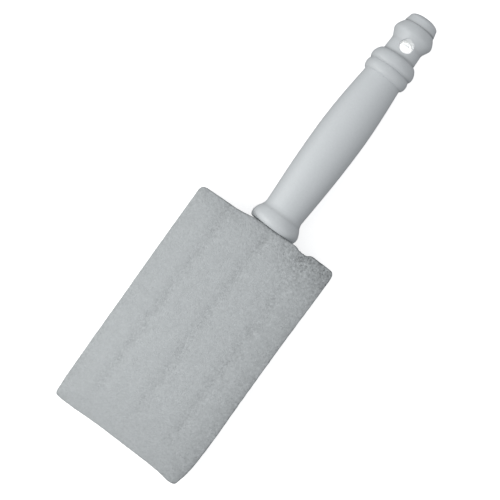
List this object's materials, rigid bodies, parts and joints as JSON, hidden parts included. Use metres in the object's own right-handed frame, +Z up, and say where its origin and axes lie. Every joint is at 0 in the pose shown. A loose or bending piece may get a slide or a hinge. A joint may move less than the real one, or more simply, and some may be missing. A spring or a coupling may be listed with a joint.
{
  "type": "foam sponge brush",
  "caption": "Hand brush with a flat bevelled foam head glued over a plastic paddle and a hollow turned-profile plastic handle with a hanging hole.",
  "frame": {"origin": "middle of the brush's outline, on the plane of the back foam face that it lies on", "axes": "+X across the foam, +Y from the foam's tip to the end of the handle, +Z up through the thickness, out of the front foam face"},
  "size_m": [0.0774, 0.256, 0.028],
  "materials": {
    "white_plastic": "satin",
    "natural_plastic": "satin",
    "grey_foam": "matte",
    "clear_glue": "satin"
  },
  "bodies": {
    "root": {"handle": "white_plastic", "paddle": "natural_plastic", "foam_front": "grey_foam", "foam_back": "grey_foam", "glue_bead_left": "clear_glue", "glue_bead_centre": "clear_glue", "glue_bead_right": "clear_glue"}
  },
  "joints": []
}
